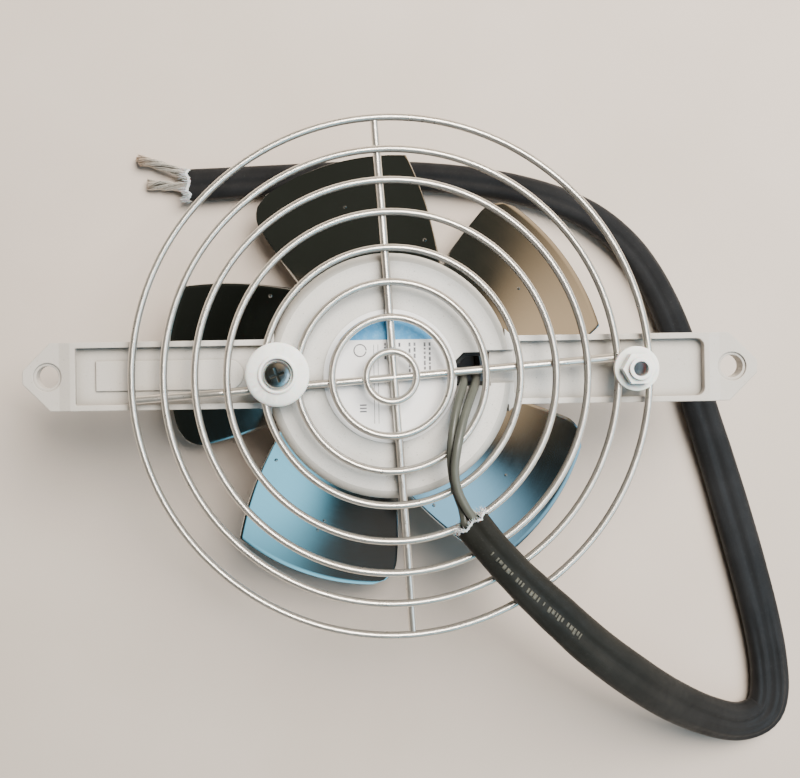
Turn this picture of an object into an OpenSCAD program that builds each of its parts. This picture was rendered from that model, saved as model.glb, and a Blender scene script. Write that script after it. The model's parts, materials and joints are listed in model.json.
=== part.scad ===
// Combustion fan for a boiler: an external-rotor motor with a five-blade sheet-metal impeller,
// carried by a die-cast two-arm bracket under a welded wire finger guard.
// Millimetres. +Z points out of the guard; the fan axis is Z.
// The origin is on the fan axis, in the plane of the ears' rear mounting face.

/* [Impeller] */
// Diameter over the blade tips
fan_d = 130; // [120:1:134]
// Number of blades
blade_count = 5; // [3:1:5]
// Axial depth of a blade
blade_depth = 20; // [12:1:22]
// Sheet thickness of a blade
blade_t = 1.2; // [0.8:0.1:1.6]
// Angle at the root of the first blade's upper edge
blade_start = -12; // [-30:1:30]
// Angle that each blade spans at its root
blade_span = 73; // [60:1:74]
// How far the upper edge sweeps round on its way to the tip
blade_sweep = 23.5; // [5:0.5:26]

/* [Motor] */
// Outer diameter of the rotor cup
rotor_d = 66; // [64:1:68]
// Depth of the rotor cup's floor below the ears' mounting face
rotor_depth = 30; // [30:1:34]
// Diameter of the stator stack
stator_d = 52; // [50:0.5:52]
// Air gap between the stator and the rotor, on the radius
air_gap = 0.4; // [0.3:0.1:0.6]
// Shaft diameter
shaft_d = 6; // [5:0.5:6]
// Number of balls in each bearing
ball_count = 7; // [6:1:7]

/* [Bracket] */
// Distance between the ears' holes
hole_spacing = 192; // [186:1:196]
// Diameter of the ears' holes
hole_d = 6.4; // [4:0.1:7]
// Length of the bracket over its ears
bar_l = 206; // [204:1:214]
// Width of the arms
arm_w = 19.2; // [18:0.2:21]
// Offset of the arms' centre line from the fan axis
arm_y = 1.1; // [0:0.1:1.5]
// Diameter of the round hub
hub_d = 69; // [68:0.5:72]
// Height of the hub's face above the ears' rear face
hub_h = 6; // [6:0.5:8]

/* [Guard] */
// Wire diameter of the guard's rings
ring_wire = 2; // [1.6:0.1:2.2]
// Wire diameter of the guard's spokes
spoke_wire = 2.2; // [1.8:0.1:2.4]
// How much lower the outermost ring sits than the middle of the guard
guard_drop = 3; // [2:0.5:3]
// Turn of the guard's long spoke from the bracket
guard_turn = 4.2; // [4:0.1:4.6]

/* [Supply leads] */
// Diameter of a lead over its insulation
lead_d = 2.4; // [2:0.1:2.6]
// Width of the sleeve over the two leads, where it lies flattest
sleeve_w = 12.4; // [11:0.2:12.6]
// Thickness of the sleeve where it lies flattest
sleeve_t = 5; // [4.6:0.1:5]

/* [Hidden] */
$fn = 96;

// Bracket
arm_h = 4.9;
ear_h = 4.2;
tray_floor = 2.9;
rim_w = 1.6;
ear_l = 15;
tip_w = 3.6;
hub_edge_r = 3;
clamp_x = 31.3;
stud_x = 67.3;
stud_r = 2;
head_r = 3.8;
slot_x = 18;
slot_y = -3.2;
slot_w = 9.9;
slot_h = 9.4;

// Motor, as heights along Z
cup_wall = 1.5;
cup_top = -2.2;
cup_r = rotor_d / 2;
cup_in = cup_r - cup_wall;
cup_floor = -rotor_depth + cup_wall;
stack_top = -7;
stack_bottom = -22;
stack_mid = (stack_top + stack_bottom) / 2;
stack_h = stack_top - stack_bottom;
stator_r = stator_d / 2;
shoe_in = stator_r - 3.4;
neck_w = 14;
coil_x = 16.1;
coil_l = 4.6;
tube_r = 11;
shade_angles = [48, 228];

// Bearings, of the 6 x 19 x 6 size
race_out = 9.5;
fit = 0.02;
bearing_h = 6;
pitch_r = 6.25;
ball_r = 1.75;
groove_r = 1.9;
front_z = 0;
rear_z = -23;

// Impeller
tip_r = fan_d / 2;
blade_top = -2.6;
blade_rows = 9;
blade_steps = 14;
tab_h = 4.5;

// Guard
ring_radii = [6.9, 16.3, 26, 35.4, 45.2, 54.1, 62.9, 71.9];
ring_drops = [0, 0, 0, 0, 0, 0.27, 0.72, 1];
weld = 0.2;
spoke_gap = 0.9;
spoke_z = hub_h + spoke_gap + spoke_wire / 2;
ring_z = spoke_z + (spoke_wire + ring_wire) / 2 - weld;
spoke_y = -0.4;
cross_turn = 93.4;
cross_y = -0.9;
clamp_z = ring_z + ring_wire / 2 + 0.05;
stud_clamp_z = ring_z - guard_drop * ring_drops[6] + ring_wire / 2 + 0.05;

// Supply leads: the routes of their centre lines, from the hub outwards. The sleeve lies over
// the guard's outer rings, drops to the surface under the rotor, turns back and runs round
// under the arm and the guard.
lead_a_route = [
    [20.6, 0, 0.8], [20.6, -0.9, 4.4], [19.9, -3.3, 7.2], [18.3, -6.9, 9.4], [17, -11, 11.2],
    [16.1, -15.6, 12.1], [15.6, -20.6, 12.3], [15.8, -26, 12.2], [16.8, -31.2, 12.2],
    [18.6, -36.6, 12.4], [19.4, -40.4, 13]
];
lead_b_route = [
    [24.2, 0, 0.8], [24.2, -0.9, 4.4], [23.2, -3.2, 7.2], [21.2, -7, 10], [19.3, -11.2, 12.4],
    [17.8, -15.8, 14], [16.7, -20.6, 14.7], [16.1, -25.6, 14.8], [16.9, -30.8, 14.7],
    [19.3, -35.9, 14.8], [21.4, -38.8, 14.7]
];
sleeve_route = [
    [20.4, -39.6, 13.9], [25.5, -46.1, 13.7], [31.7, -53.2, 12.8], [38.4, -60.1, 11.2],
    [45.5, -67, 9], [55.6, -76.6, 4.5], [69, -87.6, -2], [82.6, -97.6, -10], [96.9, -105.9, -18],
    [109.1, -110.4, -24], [117.8, -108.9, -26.9], [120.6, -102.2, -27.2], [120.2, -91, -27.2],
    [117.8, -77.5, -27.2], [113.7, -60.5, -27.2], [109.5, -44.7, -27.2], [105.2, -29.6, -27.2],
    [100.6, -14.4, -27.1], [96.7, -1, -27], [91.8, 13.4, -26.9], [86.9, 24.5, -26.8],
    [81, 34.3, -26.8], [74.2, 41.8, -26.8], [66, 48, -26.8], [55.6, 52.9, -26.8], [44.7, 56.3, -26.8],
    [33.7, 58.6, -26.8], [19.7, 60.4, -26.8], [5.5, 61.3, -26.8], [-10.1, 61.4, -26.8],
    [-27.4, 60.8, -26.8], [-44.7, 60.1, -26.9], [-59.3, 59.4, -26.9]
];
// How wide the sleeve is at each point of its route, as a share of its full width
sleeve_spread = [
    0.81, 0.79, 0.82, 0.88, 0.93, 0.97, 1, 1, 0.97, 0.95, 0.94, 0.93, 0.92, 0.92, 0.92, 0.91, 0.88,
    0.85, 0.81, 0.77, 0.74, 0.72, 0.72, 0.72, 0.72, 0.72, 0.72, 0.73, 0.74, 0.75, 0.76, 0.78, 0.82
];
end_a_route = [[-56.5, 61.4, -27], [-60.5, 63, -26.7], [-68, 66, -27.3], [-76, 68, -28.2]];
end_b_route = [[-56.5, 58.7, -27], [-61, 59, -27.2], [-67, 59.7, -27.8], [-72.6, 60.2, -28.4]];

// ---- small helpers -------------------------------------------------------------------------

module ring_solid(r_out, r_in, z0, z1) {
    translate([0, 0, z0])
        linear_extrude(z1 - z0)
            difference() {
                circle(r_out);
                circle(r_in);
            }
}

module rounded_rect(w, h, r) {
    square([w - 2 * r, h], center = true);
    square([w, h - 2 * r], center = true);
    for (x = [-1, 1], y = [-1, 1])
        translate([x * (w / 2 - r), y * (h / 2 - r)])
            circle(r);
}

module torus(r, wire) {
    rotate_extrude()
        translate([r, 0])
            circle(wire / 2, $fn = 32);
}

function unit(v) = v / norm(v);

// A smooth curve through the points or numbers in p, with one extra between each pair.
function smooth(p) = [
    for (i = [0 : len(p) - 2])
        let (a = p[max(i - 1, 0)], b = p[i], c = p[i + 1], d = p[min(i + 2, len(p) - 1)])
        each [b, (9 * (b + c) - a - d) / 16],
    p[len(p) - 1]
];

// Size i of a tube, whose sizes are one number or a list with one for each ring.
function size_at(v, i) = is_list(v) ? v[i] : v;

function along(p, i) = unit(p[min(i + 1, len(p) - 1)] - p[max(i - 1, 0)]);

// One ring of the tube; its wide side stays level unless the route climbs straight up.
function ring_points(p, i, w, t, sides) =
    let (f = along(p, i))
    let (s = unit(abs(f[2]) > 0.9 ? [1, 0, 0] : cross(f, [0, 0, 1])))
    let (u = cross(s, f))
    [for (k = [0 : sides - 1])
        let (a = (k + 0.5) * 360 / sides)
        p[i] + s * (w / 2 * cos(a)) + u * (t / 2 * sin(a))];

module tube(p, w, t, sides) {
    n = len(p);
    points = [
        for (i = [0 : n - 1])
            each ring_points(p, i, size_at(w, i), size_at(t, i), sides)
    ];
    walls = [
        for (i = [0 : n - 2], k = [0 : sides - 1])
            let (a = i * sides + k, b = i * sides + (k + 1) % sides)
            each [[a, a + sides, b + sides], [a, b + sides, b]]
    ];
    ends = [[for (k = [0 : sides - 1]) k], [for (k = [sides - 1 : -1 : 0]) (n - 1) * sides + k]];
    polyhedron(points, concat(walls, ends), convexity = 10);
}

// ---- bracket -------------------------------------------------------------------------------

// Outline of the bar: two parallel arms that end in blunt-pointed ears.
module bar_outline() {
    l = bar_l / 2;
    w = arm_w / 2;
    t = tip_w / 2;
    polygon([
        [-l, -t], [-l + w - t, -w], [l - w + t, -w], [l, -t],
        [l, t], [l - w + t, w], [-l + w - t, w], [-l, t]
    ]);
}

// Concave corners where the arms meet the round hub.
module arm_fillets() {
    r = 5;
    for (sx = [-1, 1], sy = [-1, 1]) {
        edge = arm_y + sy * arm_w / 2;
        y = edge + sy * r;
        x = sqrt(pow(hub_d / 2 + r, 2) - pow(y, 2));
        difference() {
            translate([sx * (x - 2), edge + sy])
                square([4, 4], center = true);
            translate([sx * x, y])
                circle(r);
        }
    }
}

module hub_solid() {
    r = hub_d / 2;
    e = hub_edge_r;
    rotate_extrude()
        polygon(concat(
            [[0, 0], [r, 0]],
            [for (a = [0:10:90]) [r - e + e * cos(a), hub_h - e + e * sin(a)]],
            [[0, hub_h]]
        ));
}

// Shallow tray in the top of an arm, from the hub to the ear.
module arm_tray(x0, x1, r) {
    w = arm_w - 2 * rim_w;
    translate([(x0 + x1) / 2, 0, tray_floor])
        linear_extrude(hub_h)
            rounded_rect(x1 - x0, w, r);
}

// Raised pad along the middle of the left tray, square outside and round inside.
module tray_pad(x0, x1) {
    r = 4.2;
    translate([x0, -r, 0])
        cube([x1 - r - x0, 2 * r, tray_floor + 0.5]);
    translate([x1 - r, 0, 0])
        cylinder(h = tray_floor + 0.5, r = r);
}

// Hollow under an arm, which leaves an even wall.
module arm_hollow(x0, x1) {
    w = arm_w - 5;
    translate([(x0 + x1) / 2, 0, -1])
        linear_extrude(1.9)
            rounded_rect(x1 - x0, w, 1.5);
}

// Slot that lets the leads up through the hub, with one cut corner.
module slot_outline(inset) {
    c = 2.4;
    x0 = slot_x + inset;
    x1 = slot_x + slot_w - inset;
    y0 = slot_y + inset;
    y1 = slot_y + slot_h - inset;
    polygon([[x0, y0], [x1, y0], [x1, y1], [x0 + c, y1], [x0, y1 - c]]);
}

// Shallow channel from the slot to the right tray.
module slot_channel() {
    translate([slot_x + slot_w - 2, slot_y + 0.8, tray_floor + 1.2])
        linear_extrude(hub_h)
            square([hub_d / 2 - slot_x - slot_w + 4, slot_h - 0.3]);
}

// Parts of the bracket that follow the arms' centre line.
module arm_cuts() {
    tray_end = bar_l / 2 - ear_l;
    hub_r = hub_d / 2;
    // the ears slope down a little from the arms' rims
    for (s = [0, 1])
        mirror([s, 0, 0])
            translate([tray_end, arm_w, 0])
                rotate([90, 0, 0])
                    linear_extrude(2 * arm_w)
                        polygon([
                            [1.4, arm_h + 0.01], [4.6, ear_h], [ear_l + 2, ear_h],
                            [ear_l + 2, arm_h + 5], [1.4, arm_h + 5]
                        ]);
    arm_tray(hub_r + 0.2, tray_end, 2.2);
    difference() {
        arm_tray(-tray_end, -hub_r - 0.2, 0.4);
        tray_pad(-tray_end + 5.5, -hub_r - 6.5);
    }
    arm_hollow(hub_r + 3, stud_x - 7);
    arm_hollow(stud_x + 7, tray_end - 2);
    arm_hollow(-tray_end + 2, -hub_r - 3);
    for (s = [-1, 1])
        translate([s * hole_spacing / 2, 0, -1]) {
            cylinder(h = 8, d = hole_d);
            translate([0, 0, ear_h + 0.6])
                cylinder(h = 1, d = hole_d + 1.6);
        }
    // threaded hole for the clamp screw, and the countersunk hole for the stud
    translate([-clamp_x, 0, 0.8])
        cylinder(h = 8, r = stud_r + fit);
    translate([stud_x, 0, -1])
        cylinder(h = 8, r = stud_r + fit);
    translate([stud_x, 0, -0.1])
        cylinder(h = 2.1, r1 = head_r + 0.1, r2 = stud_r);
}

module bracket() {
    hub_r = hub_d / 2;
    color([0.86, 0.85, 0.82])
        difference() {
            union() {
                hub_solid();
                linear_extrude(arm_h)
                    difference() {
                        union() {
                            translate([0, arm_y])
                                bar_outline();
                            arm_fillets();
                        }
                        circle(hub_r - 2);
                    }
            }
            translate([0, arm_y, 0])
                arm_cuts();
            translate([0, 0, -1])
                linear_extrude(hub_h + 2)
                    slot_outline(0);
            slot_channel();
            // seat of the bearing tube, and the space over the shaft's end
            translate([0, 0, -1])
                cylinder(h = 4.5, r = tube_r + fit);
            translate([0, 0, 3])
                cylinder(h = 1.8, r = 7.5);
        }
}

module rating_label() {
    color([0.93, 0.94, 0.94])
        translate([0, 0, hub_h])
            cylinder(h = 0.15, r = 18.6);
}

// Insulating bush that lines the lead slot.
module lead_grommet() {
    color([0.12, 0.12, 0.12])
        translate([0, 0, 0.5])
            linear_extrude(2.8)
                difference() {
                    slot_outline(0.1);
                    slot_outline(1.1);
                }
}

// ---- motor, standing parts -----------------------------------------------------------------

module bearing_tube() {
    color([0.62, 0.63, 0.65])
        rotate_extrude()
            polygon([
                [race_out, 3.4], [race_out, front_z - bearing_h / 2],
                [8, front_z - bearing_h / 2], [8, rear_z + bearing_h / 2 + 0.5],
                [race_out, rear_z + bearing_h / 2 + 0.5], [race_out, rear_z - bearing_h / 2 - 0.4],
                [tube_r, rear_z - bearing_h / 2 - 0.4], [tube_r, 3.4]
            ]);
}

module preload_washer() {
    color([0.55, 0.56, 0.58])
        ring_solid(race_out - 0.1, 8.1, rear_z + bearing_h / 2 + 0.05, rear_z + bearing_h / 2 + 0.45);
}

module sector(r0, r1, a0, a1) {
    intersection() {
        difference() {
            circle(r1);
            circle(r0);
        }
        polygon([
            [0, 0], [60 * cos(a0), 60 * sin(a0)],
            [60 * cos((a0 + a1) / 2), 60 * sin((a0 + a1) / 2)], [60 * cos(a1), 60 * sin(a1)]
        ]);
    }
}

module shoe_outline() {
    difference() {
        circle(stator_r);
        circle(shoe_in);
        // gaps between the two pole shoes
        for (a = [90, 270])
            rotate(a)
                translate([0, -5.5])
                    square([40, 11]);
        // notches for the shading rings
        for (a = shade_angles)
            rotate(a)
                translate([shoe_in - 1, -0.95])
                    square([3, 1.9]);
    }
}

module stator_core() {
    color([0.45, 0.46, 0.48])
        translate([0, 0, stack_bottom])
            linear_extrude(stack_h)
                difference() {
                    union() {
                        circle(tube_r + 2.4);
                        shoe_outline();
                        square([2 * shoe_in + 1.5, neck_w], center = true);
                    }
                    circle(tube_r + fit);
                }
}

// One bobbin and its coil sit on each neck; side is -1 or 1.
module bobbin(side) {
    color([0.9, 0.9, 0.85])
        translate([side * coil_x, 0, stack_mid])
            rotate([90, 0, 90])
                translate([0, 0, -coil_l / 2])
                    linear_extrude(coil_l)
                        difference() {
                            rounded_rect(neck_w + 2, stack_h + 2, 1);
                            square([neck_w + 0.2, stack_h + 0.2], center = true);
                        }
}

module coil(side) {
    color([0.72, 0.36, 0.16])
        translate([side * coil_x, 0, stack_mid])
            rotate([90, 0, 90])
                translate([0, 0, -coil_l / 2 + 0.2])
                    linear_extrude(coil_l - 0.4)
                        difference() {
                            rounded_rect(neck_w + 9.4, stack_h + 9, 3.5);
                            square([neck_w + 2.2, stack_h + 2.2], center = true);
                        }
}

module bobbin_a() bobbin(-1);
module bobbin_b() bobbin(1);
module coil_a() coil(-1);
module coil_b() coil(1);

// Closed copper loops, each round one tip of a pole shoe: a leg in the notch, a leg past the
// tip, and a bar over each face of the stack.
module shading_rings() {
    bar = 1.4;
    r0 = shoe_in - 0.6;
    color([0.78, 0.42, 0.2])
        for (a = shade_angles) {
            translate([0, 0, stack_bottom - bar])
                linear_extrude(stack_h + 2 * bar) {
                    sector(r0, r0 + 2, a - 1.7, a + 1.7);
                    sector(r0, r0 + 2, a + 29.6, a + 33);
                }
            for (z = [stack_bottom - bar, stack_top])
                translate([0, 0, z])
                    linear_extrude(bar)
                        sector(r0, r0 + 2, a - 1.7, a + 33);
        }
}

// ---- bearings ------------------------------------------------------------------------------

module race_outer(z) {
    color([0.7, 0.71, 0.73])
        translate([0, 0, z])
            rotate_extrude()
                difference() {
                    translate([7.6, -bearing_h / 2])
                        square([race_out - fit - 7.6, bearing_h]);
                    translate([pitch_r, 0])
                        circle(groove_r);
                }
}

module race_inner(z) {
    color([0.7, 0.71, 0.73])
        translate([0, 0, z])
            rotate_extrude()
                difference() {
                    translate([shaft_d / 2 + fit, -bearing_h / 2])
                        square([4.9 - shaft_d / 2 - fit, bearing_h]);
                    translate([pitch_r, 0])
                        circle(groove_r);
                }
}

module ball_ring(z) {
    color([0.8, 0.81, 0.83])
        for (i = [0 : ball_count - 1])
            rotate(i * 360 / ball_count)
                translate([pitch_r, 0, z])
                    sphere(ball_r);
}

// Crown cage: a ring at one side of the balls, with a hollow for each of them.
module cage_ring(z) {
    color([0.55, 0.48, 0.3])
        translate([0, 0, z])
            difference() {
                ring_solid(7.2, 5.3, 1.1, 2.6);
                for (i = [0 : ball_count - 1])
                    rotate(i * 360 / ball_count)
                        translate([pitch_r, 0, 0])
                            sphere(ball_r + 0.1);
            }
}

module front_outer_race() race_outer(front_z);
module rear_outer_race() race_outer(rear_z);
module front_inner_race() race_inner(front_z);
module rear_inner_race() race_inner(rear_z);
module front_balls() ball_ring(front_z);
module rear_balls() ball_ring(rear_z);
module front_ball_cage() cage_ring(front_z);
module rear_ball_cage() cage_ring(rear_z);

// ---- guard ---------------------------------------------------------------------------------

module guard_ring(i) {
    color([0.8, 0.79, 0.77])
        translate([0, 0, ring_z - guard_drop * ring_drops[i]])
            torus(ring_radii[i], ring_wire);
}

// A spoke is level under the middle rings and bends down to the outer ones.
function spoke_route(y) =
    let (out = ring_radii[7] + 0.8, mid = ring_radii[4] + 4, low = spoke_z - guard_drop)
    [[-out, y, low], [-mid - 3, y, spoke_z - 0.4], [-mid + 3, y, spoke_z],
     [mid - 3, y, spoke_z], [mid + 3, y, spoke_z - 0.4], [out, y, low]];

module guard_spoke(turn, y) {
    color([0.8, 0.79, 0.77])
        rotate(turn)
            tube(spoke_route(y), spoke_wire, spoke_wire, 16);
}

module guard_ring_1() guard_ring(0);
module guard_ring_2() guard_ring(1);
module guard_ring_3() guard_ring(2);
module guard_ring_4() guard_ring(3);
module guard_ring_5() guard_ring(4);
module guard_ring_6() guard_ring(5);
module guard_ring_7() guard_ring(6);
module guard_ring_8() guard_ring(7);
module guard_spoke_long() guard_spoke(guard_turn, spoke_y);
module guard_spoke_cross() guard_spoke(cross_turn, cross_y);

// ---- guard fasteners -----------------------------------------------------------------------

module clamp_washer() {
    color([0.93, 0.93, 0.9])
        translate([-clamp_x, arm_y, clamp_z])
            rotate_extrude()
                polygon([
                    [2.2, 0], [8.4, 0], [8.8, 0.4], [8.8, 1], [8, 1.6],
                    [5.4, 2], [5, 2.6], [4.4, 2.6], [4.2, 1.4], [2.2, 1.4]
                ]);
}

module clamp_screw() {
    color([0.7, 0.7, 0.7])
        translate([-clamp_x, arm_y, 0]) {
            translate([0, 0, 1])
                cylinder(h = clamp_z + 0.5, r = stud_r);
            translate([0, 0, clamp_z + 1.45])
                difference() {
                    rotate_extrude()
                        polygon(concat(
                            [[0, 0], [3.7, 0], [3.7, 0.9]],
                            [for (a = [20:20:80]) [3.7 * cos(a), 0.9 + 1.1 * sin(a)]],
                            [[0, 2]]
                        ));
                    for (a = [0, 90])
                        rotate(a + 20)
                            translate([-2, -0.35, 0.9])
                                cube([4, 0.7, 3]);
                }
        }
}

module flange_nut() {
    color([0.95, 0.95, 0.92])
        translate([stud_x, arm_y, stud_clamp_z])
            difference() {
                union() {
                    cylinder(h = 1.2, r = 6.1);
                    cylinder(h = 3.6, r = 4.7, $fn = 6);
                    cylinder(h = 4.4, r = 3);
                }
                translate([0, 0, -1])
                    cylinder(h = 8, r = stud_r + 0.05);
            }
}

// Countersunk screw, set from behind the arm.
module nut_stud() {
    color([0.66, 0.67, 0.68])
        translate([stud_x, arm_y, 0]) {
            translate([0, 0, 1.8])
                cylinder(h = stud_clamp_z + 1.4, r = stud_r);
            cylinder(h = 1.9, r1 = head_r, r2 = stud_r);
        }
}

module stud_washer() {
    color([0.72, 0.73, 0.74])
        translate([stud_x, arm_y, 0])
            ring_solid(4.2, stud_r + 0.15, tray_floor + 0.02, tray_floor + 0.8);
}

// ---- rotor ---------------------------------------------------------------------------------

module shaft() {
    color([0.75, 0.76, 0.78])
        translate([0, 0, cup_floor - 1])
            difference() {
                cylinder(h = 4.3 - cup_floor + 1, d = shaft_d);
                // groove for the circlip
                translate([0, 0, 3.1 - cup_floor + 1])
                    ring_solid(5, shaft_d / 2 - 0.4, 0, 0.8);
            }
}

module shaft_circlip() {
    color([0.3, 0.31, 0.33])
        translate([0, 0, 3.15])
            linear_extrude(0.7)
                difference() {
                    circle(4.8);
                    circle(shaft_d / 2 - 0.3);
                    translate([0, -1.5])
                        square([8, 3]);
                }
}

module rotor_bush() {
    color([0.6, 0.61, 0.63])
        rotate_extrude()
            polygon([
                [shaft_d / 2 + fit, cup_floor], [9, cup_floor], [9, cup_floor + 1],
                [5, cup_floor + 1], [4.6, -26.1], [shaft_d / 2 + fit, -26.1]
            ]);
}

module rotor_cup() {
    vent_r = 20;
    e = 3;
    i = e - cup_wall;
    z0 = -rotor_depth;
    color([0.24, 0.25, 0.27])
        difference() {
            rotate_extrude()
                polygon(concat(
                    [[shaft_d / 2 + fit, z0 + 0.5], [7, z0 + 0.5], [8, z0]],
                    [for (a = [-90:10:0]) [cup_r - e + e * cos(a), z0 + e + e * sin(a)]],
                    [[cup_r, cup_top], [cup_in, cup_top]],
                    [for (a = [0:-15:-90])
                        [cup_in + i * (cos(a) - 1), cup_floor + i * (1 + sin(a))]],
                    [[shaft_d / 2 + fit, cup_floor]]
                ));
            for (a = [30:60:330])
                rotate(a)
                    translate([vent_r, 0, z0 - 1])
                        cylinder(h = 6, d = 5);
        }
}

module rotor_core() {
    color([0.42, 0.43, 0.45])
        ring_solid(cup_in - 0.05, stator_r + air_gap, stack_bottom, stack_top);
}

module rotor_cage() {
    color([0.82, 0.83, 0.85]) {
        ring_solid(cup_in - 0.3, stator_r + 1.2, stack_top, stack_top + 2.4);
        ring_solid(cup_in - 1.7, stator_r + 1.2, stack_bottom - 2.4, stack_bottom);
    }
}

// ---- blades --------------------------------------------------------------------------------

// Radii of the rows of points, from the rotor to the tip.
root_r = cup_r + 0.1 + blade_t / 2;
corner_r = 7;

function row_radius(i) =
    i == 0 ? root_r : root_r + (tip_r - root_r) * (i - 1) / (blade_rows - 2);

// The upper edge sweeps round towards the tip; the lower edge is radial with a rounded corner.
function upper_angle(r) =
    blade_sweep * pow((r - root_r) / (tip_r - root_r), 0.7);
function corner_cut(r) =
    r < tip_r - corner_r ? 0
    : (corner_r - sqrt(max(0, pow(corner_r, 2) - pow(r - tip_r + corner_r, 2)))) / r * 57.3;
function lower_angle(r) =
    blade_span - 4.5 * (r - root_r) / (tip_r - root_r) - corner_cut(r);

// Height of the cambered sheet, by the share of the root's span that an angle has reached.
function blade_z(a) =
    let (t = a / blade_span)
    blade_top - blade_t / 2 - (blade_depth - blade_t) * (t + 0.35 * t * (1 - t));

// A point of the middle surface; row 0 is the lower edge of the root's welding tab.
function mid_point(i, j) =
    let (r = row_radius(i))
    let (a0 = upper_angle(r), a1 = lower_angle(r))
    let (a = a0 + (a1 - a0) * j / blade_steps)
    let (drop = i == 0 ? -tab_h : 0)
    [r * cos(a), r * sin(a), max(blade_z(a) + drop, -rotor_depth + 3)];

function sheet_normal(i, j) =
    let (i0 = max(i - 1, 0), i1 = min(i + 1, blade_rows - 1))
    let (j0 = max(j - 1, 0), j1 = min(j + 1, blade_steps))
    unit(cross(mid_point(i1, j) - mid_point(i0, j), mid_point(i, j1) - mid_point(i, j0)));

module blade_sheet() {
    n = blade_steps + 1;
    m = blade_rows * n;
    grid = [for (i = [0 : blade_rows - 1], j = [0 : blade_steps]) [i, j]];
    top = [for (g = grid) mid_point(g[0], g[1]) + sheet_normal(g[0], g[1]) * blade_t / 2];
    low = [for (g = grid) mid_point(g[0], g[1]) - sheet_normal(g[0], g[1]) * blade_t / 2];
    edge = concat(
        [for (j = [0 : blade_steps]) j],
        [for (i = [1 : blade_rows - 1]) i * n + blade_steps],
        [for (j = [blade_steps - 1 : -1 : 0]) (blade_rows - 1) * n + j],
        [for (i = [blade_rows - 2 : -1 : 1]) i * n]
    );
    e = len(edge);
    faces = concat(
        [for (i = [0 : blade_rows - 2], j = [0 : blade_steps - 1])
            each [[i * n + j, (i + 1) * n + j + 1, (i + 1) * n + j],
                  [i * n + j, i * n + j + 1, (i + 1) * n + j + 1]]],
        [for (i = [0 : blade_rows - 2], j = [0 : blade_steps - 1])
            each [[m + i * n + j, m + (i + 1) * n + j, m + (i + 1) * n + j + 1],
                  [m + i * n + j, m + (i + 1) * n + j + 1, m + i * n + j + 1]]],
        [for (k = [0 : e - 1])
            each [[edge[k], m + edge[k], m + edge[(k + 1) % e]],
                  [edge[k], m + edge[(k + 1) % e], edge[(k + 1) % e]]]]
    );
    polyhedron(concat(top, low), faces, convexity = 6);
}

module blade(k) {
    if (k < blade_count)
        color([0.66, 0.68, 0.7])
            rotate(blade_start + k * 360 / blade_count)
                blade_sheet();
}

module blade_1() blade(0);
module blade_2() blade(1);
module blade_3() blade(2);
module blade_4() blade(3);
module blade_5() blade(4);

// ---- supply leads --------------------------------------------------------------------------

module lead_a() {
    color([0.24, 0.26, 0.24])
        tube(lead_a_route, lead_d, lead_d, 8);
}

module lead_b() {
    color([0.24, 0.26, 0.24])
        tube(lead_b_route, lead_d, lead_d, 8);
}

module sleeve() {
    color([0.25, 0.26, 0.26])
        tube(
            smooth(sleeve_route),
            [for (k = smooth(sleeve_spread)) sleeve_w * k],
            [for (k = smooth(sleeve_spread)) sleeve_t * (1 + 0.9 * (1 - k))],
            12
        );
}

module lead_end_a() {
    color([0.8, 0.75, 0.65])
        tube(end_a_route, 2.8, 2.6, 8);
}

module lead_end_b() {
    color([0.8, 0.75, 0.65])
        tube(end_b_route, 2.8, 2.6, 8);
}

// ---- drawing -------------------------------------------------------------------------------

bracket();
rating_label();
lead_grommet();
bearing_tube();
preload_washer();
stator_core();
bobbin_a();
bobbin_b();
coil_a();
coil_b();
shading_rings();
front_outer_race();
rear_outer_race();
guard_ring_1();
guard_ring_2();
guard_ring_3();
guard_ring_4();
guard_ring_5();
guard_ring_6();
guard_ring_7();
guard_ring_8();
guard_spoke_long();
guard_spoke_cross();
clamp_washer();
clamp_screw();
flange_nut();
nut_stud();
stud_washer();
shaft();
rotor_bush();
rotor_cup();
rotor_core();
rotor_cage();
shaft_circlip();
front_inner_race();
rear_inner_race();
blade_1();
blade_2();
blade_3();
blade_4();
blade_5();
front_balls();
front_ball_cage();
rear_balls();
rear_ball_cage();
lead_a();
lead_b();
sleeve();
lead_end_a();
lead_end_b();
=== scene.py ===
"""Looks of the boiler's combustion fan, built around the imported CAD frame.

Lengths are in metres, in the row frame: the fan's axis is Z, the guard faces +Z, and the bracket's
arms lie along X. The loose fan lies on its rotor, on a pale table.
"""

import json
import math
import random

import bmesh
import bpy
from mathutils import Matrix, Vector, noise

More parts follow.
